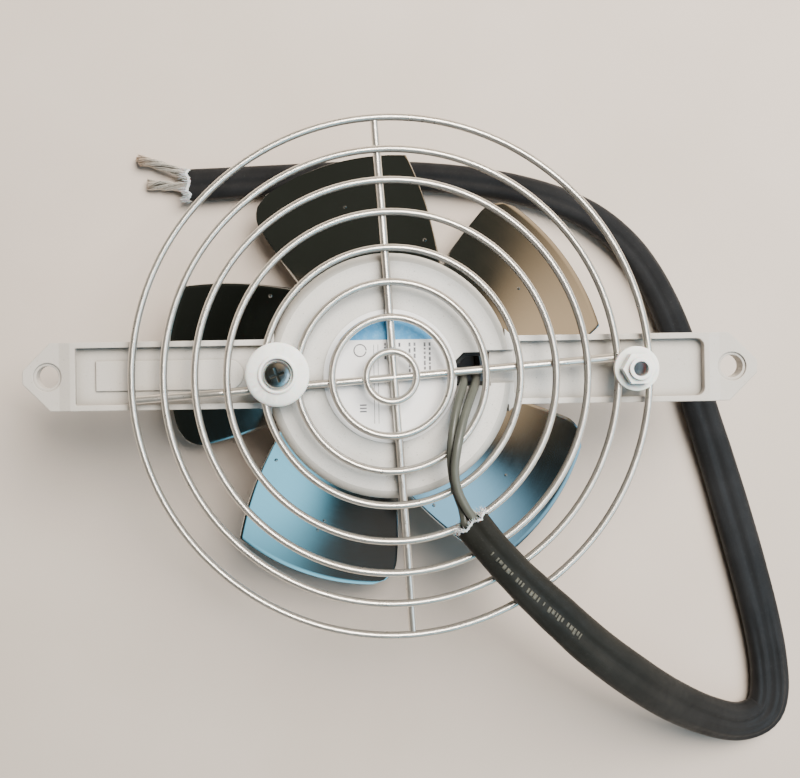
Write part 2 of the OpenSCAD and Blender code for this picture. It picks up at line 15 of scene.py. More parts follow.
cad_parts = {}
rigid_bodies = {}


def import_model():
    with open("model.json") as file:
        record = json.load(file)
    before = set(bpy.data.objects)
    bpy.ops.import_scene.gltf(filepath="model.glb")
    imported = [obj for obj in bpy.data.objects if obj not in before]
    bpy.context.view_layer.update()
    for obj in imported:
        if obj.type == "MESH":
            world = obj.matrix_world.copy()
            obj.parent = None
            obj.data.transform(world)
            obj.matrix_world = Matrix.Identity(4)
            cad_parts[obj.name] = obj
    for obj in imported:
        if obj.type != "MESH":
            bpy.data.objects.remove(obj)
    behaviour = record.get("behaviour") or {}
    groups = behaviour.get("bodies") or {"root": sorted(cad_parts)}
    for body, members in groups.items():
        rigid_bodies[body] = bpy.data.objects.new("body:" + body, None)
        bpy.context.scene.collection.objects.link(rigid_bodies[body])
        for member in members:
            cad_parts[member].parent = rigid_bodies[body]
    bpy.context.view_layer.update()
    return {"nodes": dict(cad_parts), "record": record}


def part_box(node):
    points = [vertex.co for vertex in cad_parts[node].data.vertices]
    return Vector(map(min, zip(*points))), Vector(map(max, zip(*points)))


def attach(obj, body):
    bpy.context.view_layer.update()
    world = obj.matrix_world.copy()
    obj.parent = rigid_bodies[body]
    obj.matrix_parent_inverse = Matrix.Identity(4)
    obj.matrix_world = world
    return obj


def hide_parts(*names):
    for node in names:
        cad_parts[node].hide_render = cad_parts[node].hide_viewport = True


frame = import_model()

MM = 0.001
BODY = {n: body for body, nodes in frame["record"]["behaviour"]["bodies"].items() for n in nodes}
SLOT = {row["node"]: row["material_slot"] for row in frame["record"]["subparts"]}
TABLE_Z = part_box("rotor_cup")[0].z


# ---- camera ---------------------------------------------------------------------------------

def make_camera():
    """Looks straight down on the guard from hand height, a little to the left of the axis."""
    data = bpy.data.cameras.new("camera")
    data.sensor_width = 36
    data.lens = 41.36
    data.shift_x = 0.11875
    data.shift_y = -0.06375
    camera = bpy.data.objects.new("camera", data)
    camera.location = (-0.02354, 0.01095, 0.2618)
    camera.rotation_euler = (0, 0, math.radians(-0.955))
    bpy.context.scene.collection.objects.link(camera)
    bpy.context.scene.camera = camera


# ---- node materials -------------------------------------------------------------------------

class Look:
    """A node material under construction; its coordinates are the row frame's, in metres."""

    def __init__(self, name, coordinate="Object", **sockets):
        self.material = bpy.data.materials.new(name)
        self.material.use_nodes = True
        self.tree = self.material.node_tree
        self.shader = self.tree.nodes["Principled BSDF"]
        for socket, value in sockets.items():
            self.shader.inputs[socket.replace("_", " ")].default_value = value
        self.place = self.tree.nodes.new("ShaderNodeTexCoord").outputs[coordinate]
        self.normal = None

    def node(self, kind, *inputs, **settings):
        """Adds a node; inputs fill its sockets in order, with a number, a tuple or a link."""
        made = self.tree.nodes.new("ShaderNode" + kind)
        for key, value in settings.items():
            setattr(made, key, value)
        for index, value in enumerate(inputs):
            self.fill(made.inputs[index], value)
        return made

    def fill(self, socket, value):
        if isinstance(value, bpy.types.NodeSocket):
            self.tree.links.new(value, socket)
        elif value is not None:
            socket.default_value = value

    def stretched(self, x, y, z):
        """The coordinates, scaled along each axis, for grain and streaks."""
        return self.node("Mapping", self.place, (0, 0, 0), (0, 0, 0), (x, y, z)).outputs[0]

    def noise(self, scale, detail=3.0, roughness=0.55, where=None):
        """Cloudy noise from 0 to 1, with scale in features per metre."""
        made = self.node("TexNoise")
        self.fill(made.inputs["Vector"], where or self.place)
        made.inputs["Scale"].default_value = scale
        made.inputs["Detail"].default_value = detail
        made.inputs["Roughness"].default_value = roughness
        return made.outputs["Fac"]

    def spots(self, scale, where=None):
        """Distance to the nearest of many scattered points, with scale in points per metre."""
        made = self.node("TexVoronoi")
        self.fill(made.inputs["Vector"], where or self.place)
        made.inputs["Scale"].default_value = scale
        return made.outputs["Distance"]

    def wave(self, axis, period, distort=0.0, kind="BANDS"):
        """Fine parallel lines, period metres apart."""
        made = self.node("TexWave", self.place, wave_type=kind)
        setattr(made, "bands_direction" if kind == "BANDS" else "rings_direction", axis)
        made.inputs["Scale"].default_value = 0.314 / period
        made.inputs["Distortion"].default_value = distort
        return made.outputs["Fac"]

    def span(self, value, low, high, to_low=0.0, to_high=1.0):
        """Maps low..high to to_low..to_high, and holds it at the ends."""
        return self.node("MapRange", value, low, high, to_low, to_high).outputs[0]

    def math(self, operation, a, b=0.0):
        return self.node("Math", a, b, operation=operation).outputs[0]

    def mix(self, factor, a, b):
        """Colour a where factor is 0, and b where it is 1."""
        made = self.node("Mix", data_type="RGBA")
        for socket, value in zip((0, 6, 7), (factor, a, b)):
            if isinstance(value, tuple) and len(value) == 3:
                value = (*value, 1.0)
            self.fill(made.inputs[socket], value)
        return made.outputs[2]

    def color(self, value):
        self.fill(self.shader.inputs["Base Color"], value)

    def rough(self, value):
        self.fill(self.shader.inputs["Roughness"], value)

    def bump(self, height, depth):
        """Adds relief of that depth in metres."""
        made = self.node("Bump")
        made.inputs["Distance"].default_value = depth
        made.inputs["Strength"].default_value = 1.0
        self.fill(made.inputs["Height"], height)
        if self.normal:
            self.fill(made.inputs["Normal"], self.normal)
        self.normal = made.outputs[0]
        self.fill(self.shader.inputs["Normal"], self.normal)

    def soften(self, radius):
        """Catches light along edges as if they were rounded by that radius."""
        made = self.node("Bevel", samples=6)
        made.inputs["Radius"].default_value = radius
        self.normal = made.outputs[0]
        self.fill(self.shader.inputs["Normal"], self.normal)

    def hollows(self, distance):
        """1 in the open, falling towards 0 in corners and narrow gaps."""
        made = self.node("AmbientOcclusion", samples=8)
        made.inputs["Distance"].default_value = distance
        return made.outputs["AO"]


def cast_aluminium():
    look = Look("cast_aluminium", Metallic=0.25, Specular_IOR_Level=0.5)
    look.soften(0.45 * MM)
    cloud = look.span(look.noise(45, 4), 0.35, 0.65)
    skin = look.mix(cloud, (0.70, 0.685, 0.65), (0.78, 0.765, 0.73))
    speck = look.span(look.noise(2600, 2, 0.7), 0.6, 0.72)
    skin = look.mix(speck, skin, (0.54, 0.525, 0.49))
    pits = look.span(look.spots(420), 0.05, 0.11, 1, 0)
    skin = look.mix(look.math("MULTIPLY", pits, 0.5), skin, (0.33, 0.31, 0.28))
    stain = look.span(look.noise(110, 5, 0.7), 0.62, 0.78, 0, 0.35)
    skin = look.mix(stain, skin, (0.55, 0.50, 0.43))
    # Painted shade: away from the axis, the arms are darker and warmer than the hub face, standing
    # in for the hub catching more light.
    away = look.node("VectorMath", look.place, operation="LENGTH").outputs["Value"]
    arm_shade = look.span(away, 0.044, 0.06, 0, 0.55)
    skin = look.mix(arm_shade, skin, (0.46, 0.40, 0.335))
    # Painted shade: faces tilted away from straight up, such as the hub's rounded rim, are
    # darkened.
    slope = look.node("SeparateXYZ", look.node("NewGeometry").outputs["True Normal"]).outputs["Z"]
    slope_shade = look.math("MULTIPLY", look.span(slope, 0.975, 0.967), look.span(slope, 0.1, 0.3))
    skin = look.mix(look.math("MULTIPLY", slope_shade, 0.45), skin, (0.30, 0.29, 0.25))
    # Painted shade: the colour darkens into corners, recesses and narrow gaps.
    hollow_shade = look.span(look.hollows(0.004), 0.4, 0.95, 0.75, 0)
    look.color(look.mix(hollow_shade, skin, (0.26, 0.24, 0.21)))
    look.rough(look.span(look.noise(300, 3), 0.3, 0.7, 0.42, 0.62))
    look.bump(look.noise(1500, 3, 0.6), 0.00004)
    look.bump(pits, -0.00003)
    return look.material


def guard_wire():
    look = Look("guard_wire", Metallic=0.92)
    cloud = look.span(look.noise(90, 4), 0.35, 0.65)
    plate = look.mix(cloud, (0.72, 0.68, 0.61), (0.82, 0.78, 0.71))
    scuff = look.span(look.noise(900, 3, 0.7), 0.58, 0.72)
    plate = look.mix(look.math("MULTIPLY", scuff, 0.6), plate, (0.44, 0.40, 0.35))
    look.color(plate)
    look.rough(look.span(look.noise(500, 3), 0.3, 0.7, 0.27, 0.38))
    look.bump(look.noise(700, 2), 0.000004)
    return look.material


def blade_sheet():
    look = Look("blade_sheet", "UV", Metallic=1.0)
    grain = look.noise(1.0, 3, 0.6, look.stretched(40, 2600, 1))
    smear = look.noise(55, 4, 0.6)
    look.color(look.mix(look.span(smear, 0.35, 0.7), (0.66, 0.66, 0.64), (0.72, 0.73, 0.72)))
    streak = look.span(grain, 0.3, 0.7, 0, 0.03)
    look.rough(look.math("ADD", look.span(smear, 0.4, 0.75, 0.13, 0.18), streak))
    return look.material


def white_nylon():
    look = Look("white_nylon", Subsurface_Weight=0.3, Subsurface_Scale=0.0015, Roughness=0.4)
    look.soften(0.3 * MM)
    cloud = look.span(look.noise(160, 3), 0.35, 0.65)
    shade = look.mix(cloud, (0.74, 0.76, 0.73), (0.82, 0.83, 0.80))
    # Painted shade: the washer darkens into its corners and the gaps around it.
    hollow_shade = look.span(look.hollows(0.0025), 0.4, 0.9, 0.6, 0)
    look.color(look.mix(hollow_shade, shade, (0.40, 0.43, 0.41)))
    look.rough(look.span(look.noise(700, 3), 0.3, 0.7, 0.33, 0.5))
    look.bump(look.noise(900, 2), 0.00001)
    return look.material


def bright_metal(name, shade, dull, roughness):
    """Plated or ground metal with a fine cloudy finish and small scuffs."""
    look = Look(name, Metallic=1.0)
    cloud = look.span(look.noise(220, 4), 0.35, 0.65)
    look.color(look.mix(cloud, dull, shade))
    look.rough(look.span(look.noise(800, 3), 0.3, 0.7, roughness, roughness + 0.16))
    look.bump(look.noise(2200, 2), 0.000008)
    return look.material


def machined_steel():
    look = Look("machined_steel", Metallic=1.0)
    rings = look.wave("Z", 0.0003, 0.4, "RINGS")
    look.color(look.mix(look.noise(150), (0.42, 0.42, 0.43), (0.56, 0.56, 0.57)))
    look.rough(look.span(rings, 0, 1, 0.28, 0.4))
    look.bump(rings, 0.000006)
    return look.material


def lamination_steel():
    look = Look("lamination_steel", Metallic=0.8)
    sheets = look.wave("Z", 0.0005, 0.15)
    look.color(look.mix(sheets, (0.16, 0.15, 0.15), (0.34, 0.34, 0.35)))
    look.rough(look.span(look.noise(600), 0.3, 0.7, 0.4, 0.6))
    look.bump(sheets, 0.00003)
    return look.material


def bobbin_nylon():
    look = Look("bobbin_nylon", Subsurface_Weight=0.15, Subsurface_Scale=0.001)
    look.color(look.mix(look.noise(260), (0.70, 0.69, 0.60), (0.80, 0.79, 0.71)))
    look.rough(look.span(look.noise(700), 0.3, 0.7, 0.42, 0.58))
    look.bump(look.noise(1200, 2), 0.00001)
    return look.material


def coil_copper():
    look = Look("coil_copper", Metallic=0.9)
    turns = look.wave("X", 0.00035, 0.3)
    look.color(look.mix(turns, (0.22, 0.07, 0.025), (0.62, 0.25, 0.09)))
    look.rough(look.span(turns, 0, 1, 0.45, 0.25))
    look.bump(turns, 0.00008)
    return look.material


def rotor_paint():
    look = Look("rotor_paint", Coat_Weight=0.25, Coat_Roughness=0.35)
    dust = look.span(look.noise(140, 5, 0.65), 0.5, 0.75, 0, 0.4)
    look.color(look.mix(dust, (0.028, 0.029, 0.031), (0.085, 0.082, 0.078)))
    look.rough(look.span(look.noise(500, 3), 0.3, 0.7, 0.38, 0.56))
    look.bump(look.noise(700, 2), 0.00002)
    return look.material


def cast_cage():
    look = Look("cast_cage", Metallic=0.9)
    look.color(look.mix(look.noise(120, 4), (0.46, 0.46, 0.47), (0.62, 0.62, 0.63)))
    look.rough(look.span(look.noise(600), 0.3, 0.7, 0.38, 0.6))
    look.bump(look.noise(1200, 3), 0.00003)
    return look.material


def bush_rubber():
    look = Look("bush_rubber")
    look.color(look.mix(look.noise(400), (0.018, 0.018, 0.018), (0.035, 0.035, 0.034)))
    look.rough(look.span(look.noise(900), 0.3, 0.7, 0.55, 0.75))
    look.bump(look.noise(1500, 2), 0.00002)
    return look.material


def label_film():
    look = Look("label_film", Coat_Weight=0.2, Coat_Roughness=0.3)
    cloud = look.span(look.noise(70, 4), 0.35, 0.7)
    paper = look.mix(cloud, (0.74, 0.74, 0.75), (0.80, 0.80, 0.80))
    dirt = look.span(look.noise(1400, 3, 0.7), 0.62, 0.75, 0, 0.5)
    look.color(look.mix(dirt, paper, (0.50, 0.48, 0.45)))
    look.rough(look.span(look.noise(350), 0.3, 0.7, 0.34, 0.5))
    look.bump(look.noise(500, 2), 0.000012)
    return look.material


def label_ink(name, shade, faded):
    look = Look(name)
    wear = look.span(look.noise(900, 4, 0.7), 0.45, 0.7, 0, 0.8)
    look.color(look.mix(wear, shade, faded))
    look.rough(look.span(look.noise(500), 0.3, 0.7, 0.4, 0.55))
    look.bump(look.noise(800, 2), 0.000004)
    return look.material


def lead_insulation():
    look = Look("lead_insulation", Coat_Weight=0.2, Coat_Roughness=0.25)
    look.color(look.mix(look.noise(260, 4), (0.038, 0.041, 0.034), (0.064, 0.068, 0.056)))
    look.rough(look.span(look.noise(900, 3), 0.3, 0.7, 0.3, 0.5))
    look.bump(look.noise(1100, 2), 0.00002)
    return look.material


def sleeve_rubber():
    """Coated braided sleeving: u runs along it and v around it, in metres."""
    look = Look("sleeve_rubber", "UV", Specular_IOR_Level=0.22)
    cloud = look.span(look.noise(60, 4), 0.35, 0.7)
    olive = look.mix(cloud, (0.010, 0.0098, 0.008), (0.018, 0.0172, 0.0145))
    # Further along, this grey is partly the sleeve's own grey and partly painted reflection: its
    # faint blue stands in for a window reflected in the sleeve.
    plain = look.mix(cloud, (0.010, 0.010, 0.0105), (0.017, 0.017, 0.0178))
    along = look.node("SeparateXYZ", look.place).outputs["X"]
    coat = look.mix(look.span(along, 0.05, 0.14), olive, plain)
    dust = look.span(look.noise(1500, 3, 0.7), 0.6, 0.75, 0, 0.3)
    coat = look.mix(dust, coat, (0.07, 0.07, 0.065))
    look.color(coat)
    look.rough(look.span(look.noise(500, 3), 0.3, 0.7, 0.38, 0.54))
    thread = look.node("TexBrick", look.stretched(1, 1, 1), offset=0.5)
    thread.inputs["Scale"].default_value = 1200
    thread.inputs["Mortar Size"].default_value = 0.05
    look.bump(thread.outputs["Fac"], -0.00001)
    look.bump(look.noise(1.0, 3, 0.6, look.stretched(120, 900, 1)), 0.00006)
    return look.material


def glass_fibre():
    look = Look("glass_fibre", Subsurface_Weight=0.2, Subsurface_Scale=0.0005)
    look.color(look.mix(look.noise(900), (0.34, 0.36, 0.37), (0.66, 0.68, 0.70)))
    look.rough(look.span(look.noise(1500), 0.3, 0.7, 0.4, 0.6))
    look.bump(look.noise(4000, 2), 0.000005)
    return look.material


def bare_strands():
    look = Look("bare_strands", Metallic=0.7)
    along = look.node("SeparateXYZ", look.place).outputs["X"]
    tip = look.span(along, -0.069, -0.076, 0, 0.75)
    tin = look.mix(look.noise(420, 4), (0.62, 0.58, 0.50), (0.84, 0.82, 0.77))
    # Painted shade: the tin turns dark between the fine wires, where they crowd together.
    gaps = look.span(look.hollows(0.0008), 0.35, 0.85, 0.85, 0)
    tin = look.mix(gaps, tin, (0.10, 0.085, 0.065))
    look.color(look.mix(tip, tin, (0.50, 0.32, 0.20)))
    look.rough(look.span(look.noise(1500), 0.3, 0.7, 0.25, 0.42))
    look.bump(look.noise(3000, 2), 0.000008)
    return look.material


MATERIALS = {
    "cast_aluminium": cast_aluminium(),
    "label_film": label_film(),
    "bush_rubber": bush_rubber(),
    "machined_steel": machined_steel(),
    "lamination_steel": lamination_steel(),
    "bobbin_nylon": bobbin_nylon(),
    "coil_copper": coil_copper(),
    "ring_copper": bright_metal("ring_copper", (0.80, 0.42, 0.24), (0.55, 0.26, 0.14), 0.3),
    "bearing_steel": bright_metal("bearing_steel", (0.74, 0.75, 0.76), (0.62, 0.63, 0.64), 0.12),
    "cage_steel": bright_metal("cage_steel", (0.58, 0.54, 0.46), (0.44, 0.41, 0.35), 0.3),
    "guard_wire": guard_wire(),
    "white_nylon": white_nylon(),
    "zinc_screw": bright_metal("zinc_screw", (0.66, 0.68, 0.66), (0.46, 0.48, 0.47), 0.26),
    "rotor_paint": rotor_paint(),
    "cast_cage": cast_cage(),
    "blade_sheet": blade_sheet(),
    "lead_insulation": lead_insulation(),
    "sleeve_rubber": sleeve_rubber(),
    "bare_strands": bare_strands(),
}


# ---- helpers for pieces ---------------------------------------------------------------------

def add_piece(name, mesh, material, body, replaced=()):
    """Puts a mesh in the scene as a piece that rides on a body."""
    piece = bpy.data.objects.new(name, mesh)
    bpy.context.scene.collection.objects.link(piece)
    mesh.materials.clear()
    mesh.materials.append(material)
    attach(piece, body)
    if replaced:
        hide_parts(*replaced)
    return piece


def mesh_from(name, points, faces, smooth_below=35):
    """A mesh whose edges are sharp above smooth_below degrees."""
    mesh = bpy.data.meshes.new(name)
    mesh.from_pydata([tuple(p) for p in points], [], faces)
    mesh.validate()
    bm = bmesh.new()
    bm.from_mesh(mesh)
    bmesh.ops.recalc_face_normals(bm, faces=bm.faces)
    bm.to_mesh(mesh)
    bm.free()
    shade(mesh, smooth_below)
    return mesh


def shade(mesh, smooth_below):
    for polygon in mesh.polygons:
        polygon.use_smooth = True
    mesh.set_sharp_from_angle(angle=math.radians(smooth_below))


def with_modifiers(name, mesh, *modifiers):
    """The mesh after those modifiers, each given as (type, settings)."""
    holder = bpy.data.objects.new("holder", mesh)
    bpy.context.scene.collection.objects.link(holder)
    for kind, settings in modifiers:
        modifier = holder.modifiers.new(kind, kind)
        for key, value in settings.items():
            setattr(modifier, key, value)
    graph = bpy.context.evaluated_depsgraph_get()
    made = bpy.data.meshes.new_from_object(holder.evaluated_get(graph))
    made.name = name
    bpy.data.objects.remove(holder)
    return made


def bevel(width, segments=2, angle=32):
    return ("BEVEL", {"width": width, "segments": segments, "limit_method": "ANGLE",
                      "angle_limit": math.radians(angle), "use_clamp_overlap": True})


def rounded(node, width, segments=2):
    """A copy of a CAD node with its sharp edges rounded, shown in the node's place."""
    bm = bmesh.new()
    bm.from_mesh(frame["nodes"][node].data)
    bmesh.ops.remove_doubles(bm, verts=bm.verts, dist=0.002 * MM)
    bmesh.ops.dissolve_limit(bm, angle_limit=math.radians(0.3), verts=bm.verts, edges=bm.edges)
    plain = bpy.data.meshes.new(node)
    bm.to_mesh(plain)
    bm.free()
    mesh = with_modifiers(node + "_rounded", plain, bevel(width, segments))
    shade(mesh, 30)
    return add_piece(node + "_finish", mesh, MATERIALS[SLOT[node]], BODY[node], [node])


def smooth_line(points, step):
    """Points about step apart along a smooth curve through the given ones."""
    points = [Vector(p) for p in points]
    fine = []
    for i in range(len(points) - 1):
        a = points[max(i - 1, 0)]
        b, c = points[i], points[i + 1]
        d = points[min(i + 2, len(points) - 1)]
        for k in range(24):
            t = k / 24
            fine.append(0.5 * (2 * b + (c - a) * t + (2 * a - 5 * b + 4 * c - d) * t * t
                               + (3 * b - a - 3 * c + d) * t ** 3))
    fine.append(points[-1])
    return spaced(fine, step)


def spaced(line, step):
    """The line again, with points evenly spaced, about step apart."""
    along = [0.0]
    for a, b in zip(line, line[1:]):
        along.append(along[-1] + (b - a).length)
    count = max(2, round(along[-1] / step) + 1)
    out, i = [], 0
    for k in range(count):
        at = along[-1] * k / (count - 1)
        while i < len(line) - 2 and along[i + 1] < at:
            i += 1
        share = (at - along[i]) / max(along[i + 1] - along[i], 1e-12)
        out.append(line[i].lerp(line[i + 1], min(max(share, 0), 1)))
    return out


def line_length(line):
    return sum((b - a).length for a, b in zip(line, line[1:]))


def level_frames(line):
    """(forward, side, up) at each point; side stays level unless the line climbs straight up."""
    frames = []
    for i in range(len(line)):
        forward = (line[min(i + 1, len(line) - 1)] - line[max(i - 1, 0)]).normalized()
        level = Vector((1, 0, 0)) if abs(forward.z) > 0.9 else forward.cross(Vector((0, 0, 1)))
        side = level.normalized()
        frames.append((forward, side, side.cross(forward)))
    return frames


def carried_frames(line):
    """(forward, side, up) at each point, carried along the line without twist."""
    frames = []
    up = Vector((0, 0, 1))
    for i in range(len(line)):
        forward = (line[min(i + 1, len(line) - 1)] - line[max(i - 1, 0)]).normalized()
        if abs(forward.dot(up)) > 0.99:
            up = Vector((0, 1, 0))
        side = forward.cross(up).normalized()
        up = side.cross(forward)
        frames.append((forward, side, up))
    return frames


def tube_mesh(name, line, radius, sides=12, frames=None):
    """A closed round tube; radius is a number or a function of the share of its length."""
    frames = frames or carried_frames(line)
    points, faces = [], []
    for i, (centre, (_, side, up)) in enumerate(zip(line, frames)):
        r = radius(i / (len(line) - 1)) if callable(radius) else radius
        for k in range(sides):
            a = 2 * math.pi * k / sides
            points.append(centre + side * (r * math.cos(a)) + up * (r * math.sin(a)))
    for i in range(len(line) - 1):
        for k in range(sides):
            a, b = i * sides + k, i * sides + (k + 1) % sides
            faces.append((a, b, b + sides, a + sides))
    faces.append(tuple(range(sides)))
    faces.append(tuple((len(line) - 1) * sides + k for k in reversed(range(sides))))
    return mesh_from(name, points, faces, 50)


def joined(name, meshes):
    """One mesh out of several."""
    bm = bmesh.new()
    for mesh in meshes:
        bm.from_mesh(mesh)
    made = bpy.data.meshes.new(name)
    bm.to_mesh(made)
    bm.free()
    return made


# ---- cords ----------------------------------------------------------------------------------

# The routes of the centre lines, the same points as in the CAD, from the hub outwards.
LEAD_A_ROUTE = [
    (20.6, 0, 0.8), (20.6, -0.9, 4.4), (19.9, -3.3, 7.2), (18.3, -6.9, 9.4), (17, -11, 11.2),
    (16.1, -15.6, 12.1), (15.6, -20.6, 12.3), (15.8, -26, 12.2), (16.8, -31.2, 12.2),
    (18.6, -36.6, 12.4), (19.4, -40.4, 13),
]
LEAD_B_ROUTE = [
    (24.2, 0, 0.8), (24.2, -0.9, 4.4), (23.2, -3.2, 7.2), (21.2, -7, 10), (19.3, -11.2, 12.4),
    (17.8, -15.8, 14), (16.7, -20.6, 14.7), (16.1, -25.6, 14.8), (16.9, -30.8, 14.7),
    (19.3, -35.9, 14.8), (21.4, -38.8, 14.7),
]
SLEEVE_ROUTE = [
    (20.4, -39.6, 13.9), (25.5, -46.1, 13.7), (31.7, -53.2, 12.8), (38.4, -60.1, 11.2),
    (45.5, -67, 9), (55.6, -76.6, 4.5), (69, -87.6, -2), (82.6, -97.6, -10), (96.9, -105.9, -18),
    (109.1, -110.4, -24), (117.8, -108.9, -26.9), (120.6, -102.2, -27.2), (120.2, -91, -27.2),
    (117.8, -77.5, -27.2), (113.7, -60.5, -27.2), (109.5, -44.7, -27.2), (105.2, -29.6, -27.2),
    (100.6, -14.4, -27.1), (96.7, -1, -27), (91.8, 13.4, -26.9), (86.9, 24.5, -26.8),
    (81, 34.3, -26.8), (74.2, 41.8, -26.8), (66, 48, -26.8), (55.6, 52.9, -26.8),
    (44.7, 56.3, -26.8), (33.7, 58.6, -26.8), (19.7, 60.4, -26.8), (5.5, 61.3, -26.8),
    (-10.1, 61.4, -26.8), (-27.4, 60.8, -26.8), (-44.7, 60.1, -26.9), (-59.3, 59.4, -26.9),
]
SLEEVE_TURN = 10  # the route's point where it turns back
# How wide the sleeve is at each point of its route, as a share of its full width
SLEEVE_SPREAD = [
    0.81, 0.79, 0.82, 0.88, 0.93, 0.97, 1, 1, 0.97, 0.95, 0.94, 0.93, 0.92, 0.92, 0.92, 0.91, 0.88,
    0.85, 0.81, 0.77, 0.74, 0.72, 0.72, 0.72, 0.72, 0.72, 0.72, 0.73, 0.74, 0.75, 0.76, 0.78, 0.82,
]
END_A_ROUTE = [(-56.5, 61.4, -27), (-60.5, 63, -26.7), (-68, 66, -27.3), (-76, 68, -28.2)]
END_B_ROUTE = [(-56.5, 58.7, -27), (-61, 59, -27.2), (-67, 59.7, -27.8), (-72.6, 60.2, -28.4)]

LEAD_D = 2.4 * MM
SLEEVE_W = 12.4 * MM
SLEEVE_T = 5 * MM
SLEEVE_WALL = 0.5 * MM
SLEEVE_STEP = 1.5 * MM


def in_metres(route):
    return [Vector(p) * MM for p in route]


def sleeve_spread(share):
    """Share of the full width at a share of the sleeve's length."""
    route = in_metres(SLEEVE_ROUTE)
    total = line_length(route)
    at = 0.0
    for i in range(len(route) - 1):
        step = (route[i + 1] - route[i]).length
        if at + step >= share * total or i == len(route) - 2:
            t = min(max((share * total - at) / step, 0), 1)
            t = t * t * (3 - 2 * t)
            return SLEEVE_SPREAD[i] * (1 - t) + SLEEVE_SPREAD[i + 1] * t
        at += step


def sleeve_skin(line, frames, inset, turn_at, sides=64):
    """Rings of points of the sleeve's skin, inset from its outside."""
    rings = []
    step = line_length(line) / (len(line) - 1)
    for i, (centre, (_, side, up)) in enumerate(zip(line, frames)):
        along = i * step
        spread = sleeve_spread(i / (len(line) - 1))
        half_w = SLEEVE_W / 2 * spread
        half_t = SLEEVE_T / 2 * (1 + 0.9 * (1 - spread)) * 0.97
        turn = math.exp(-((along - turn_at) / 0.03) ** 2)
        ring = []
        for k in range(sides):
            a = 2 * math.pi * (k + 0.5) / sides
            c, s = math.cos(a), math.sin(a)
            across = math.copysign(abs(c) ** 0.85, c) * (half_w - inset)
            across_share = across / half_w
            # low humps over the two leads inside, and a shallow valley between them
            valley = 1 - 0.2 * spread * math.exp(-((across_share + 0.1) / 0.22) ** 2)
            height = math.copysign(abs(s) ** 0.75, s) * (half_t - inset) * valley
            ripple = 0.00022 * turn * math.sin(across_share * 15 + 0.6 * math.sin(along * 90))
            crease = 0.00025 * noise.noise(Vector((along * 45, c * 2.1, s * 2.1)))
            height += (ripple + crease) * abs(s)
            ring.append(centre + side * across + up * height)
        rings.append(ring)
    return rings


def fray(rings, frames, index, outward, seed):
    """Makes the end ring uneven, as a cut through braided sleeving is."""
    draw = random.Random(seed)
    forward = frames[index][0]
    for k, point in enumerate(rings[index]):
        reach = 0.0004 * math.sin(k * 0.7 + seed) + 0.0005 * draw.random()
        rings[index][k] = point + forward * (outward * reach)


def make_sleeve(line):
    frames = level_frames(line)
    turn_at = line_length(in_metres(SLEEVE_ROUTE[:SLEEVE_TURN + 1]))
    outer = sleeve_skin(line, frames, 0.0, turn_at)
    inner = sleeve_skin(line, frames, SLEEVE_WALL, turn_at)
    for rings in (outer, inner):
        fray(rings, frames, 0, -1, 3)
        fray(rings, frames, -1, 1, 8)
    sides = len(outer[0])
    count = len(line)
    points = [p for ring in outer for p in ring] + [p for ring in inner for p in ring]
    shift = sides * count
    faces = []
    for i in range(count - 1):
        for k in range(sides):
            a, b = i * sides + k, i * sides + (k + 1) % sides
            faces.append((a, b, b + sides, a + sides))
            faces.append((shift + b, shift + a, shift + a + sides, shift + b + sides))
    for k in range(sides):
        a, b = k, (k + 1) % sides
        faces.append((a, shift + a, shift + b, b))
        a, b = a + (count - 1) * sides, b + (count - 1) * sides
        faces.append((a, b, shift + b, shift + a))
    mesh = mesh_from("sleeve_tube", points, faces, 60)
    step = line_length(line) / (count - 1)
    girth = 2 * (SLEEVE_W + SLEEVE_T) * 0.8
    layer = mesh.uv_layers.new(name="tube")
    for polygon in mesh.polygons:
        ks = [mesh.loops[i].vertex_index % sides for i in polygon.loop_indices]
        wraps = max(ks) - min(ks) > sides / 2
        for i, k in zip(polygon.loop_indices, ks):
            ring = mesh.loops[i].vertex_index % shift // sides
            turn = k + sides if wraps and k < sides / 2 else k
            layer.data[i].uv = (ring * step, turn / sides * girth)
    piece = add_piece("sleeve_tube", mesh, MATERIALS["sleeve_rubber"], "standing",
                      ["sleeve"])
    start = make_fray("sleeve_fray_start", outer[0], inner[0], -frames[0][0], 160, 0.0013, 11)
    end = make_fray("sleeve_fray_end", outer[-1], inner[-1], frames[-1][0], 240, 0.0024, 23)
    marks = make_sleeve_print(outer, frames)


def make_sleeve_print(rings, frames):
    """A row of plain worn dashes along the sleeve's upper side; no lettering."""
    draw = random.Random(31)
    points, faces = [], []
    at = 6.0
    while at < 30:
        length = draw.uniform(0.25, 0.8)
        low = draw.choice((12.9, 12.9, 13.6))
        first = len(points)
        for i in range(4):
            for k in range(4):
                across = low + (15.1 - low) * k / 3 + 0.05 * (at - 6)
                points.append(skin_point(rings, frames, at + length * i / 3, across))
        for i in range(3):
            for k in range(3):
                a = first + i * 4 + k
                faces.append((a, a + 1, a + 5, a + 4))
        at += length + draw.choice((0.25, 0.3, 0.35, 1.1))
    mesh = mesh_from("sleeve_print", points, faces, 60)
    mesh = with_modifiers("sleeve_print", mesh, ("SOLIDIFY", {"thickness": 0.00004, "offset": 0.0}))
    ink = label_ink("sleeve_ink", (0.085, 0.084, 0.068), (0.025, 0.025, 0.021))
    return add_piece("sleeve_print", mesh, ink, "standing")


def skin_point(rings, frames, ring, side):
    """A point just above the skin, between its rings and between the points of a ring."""
    i, k = int(ring), int(side)
    t, u = ring - i, side - k
    low = rings[i][k].lerp(rings[i][k + 1], u)
    high = rings[i + 1][k].lerp(rings[i + 1][k + 1], u)
    return low.lerp(high, t) + frames[i][2] * 0.00005


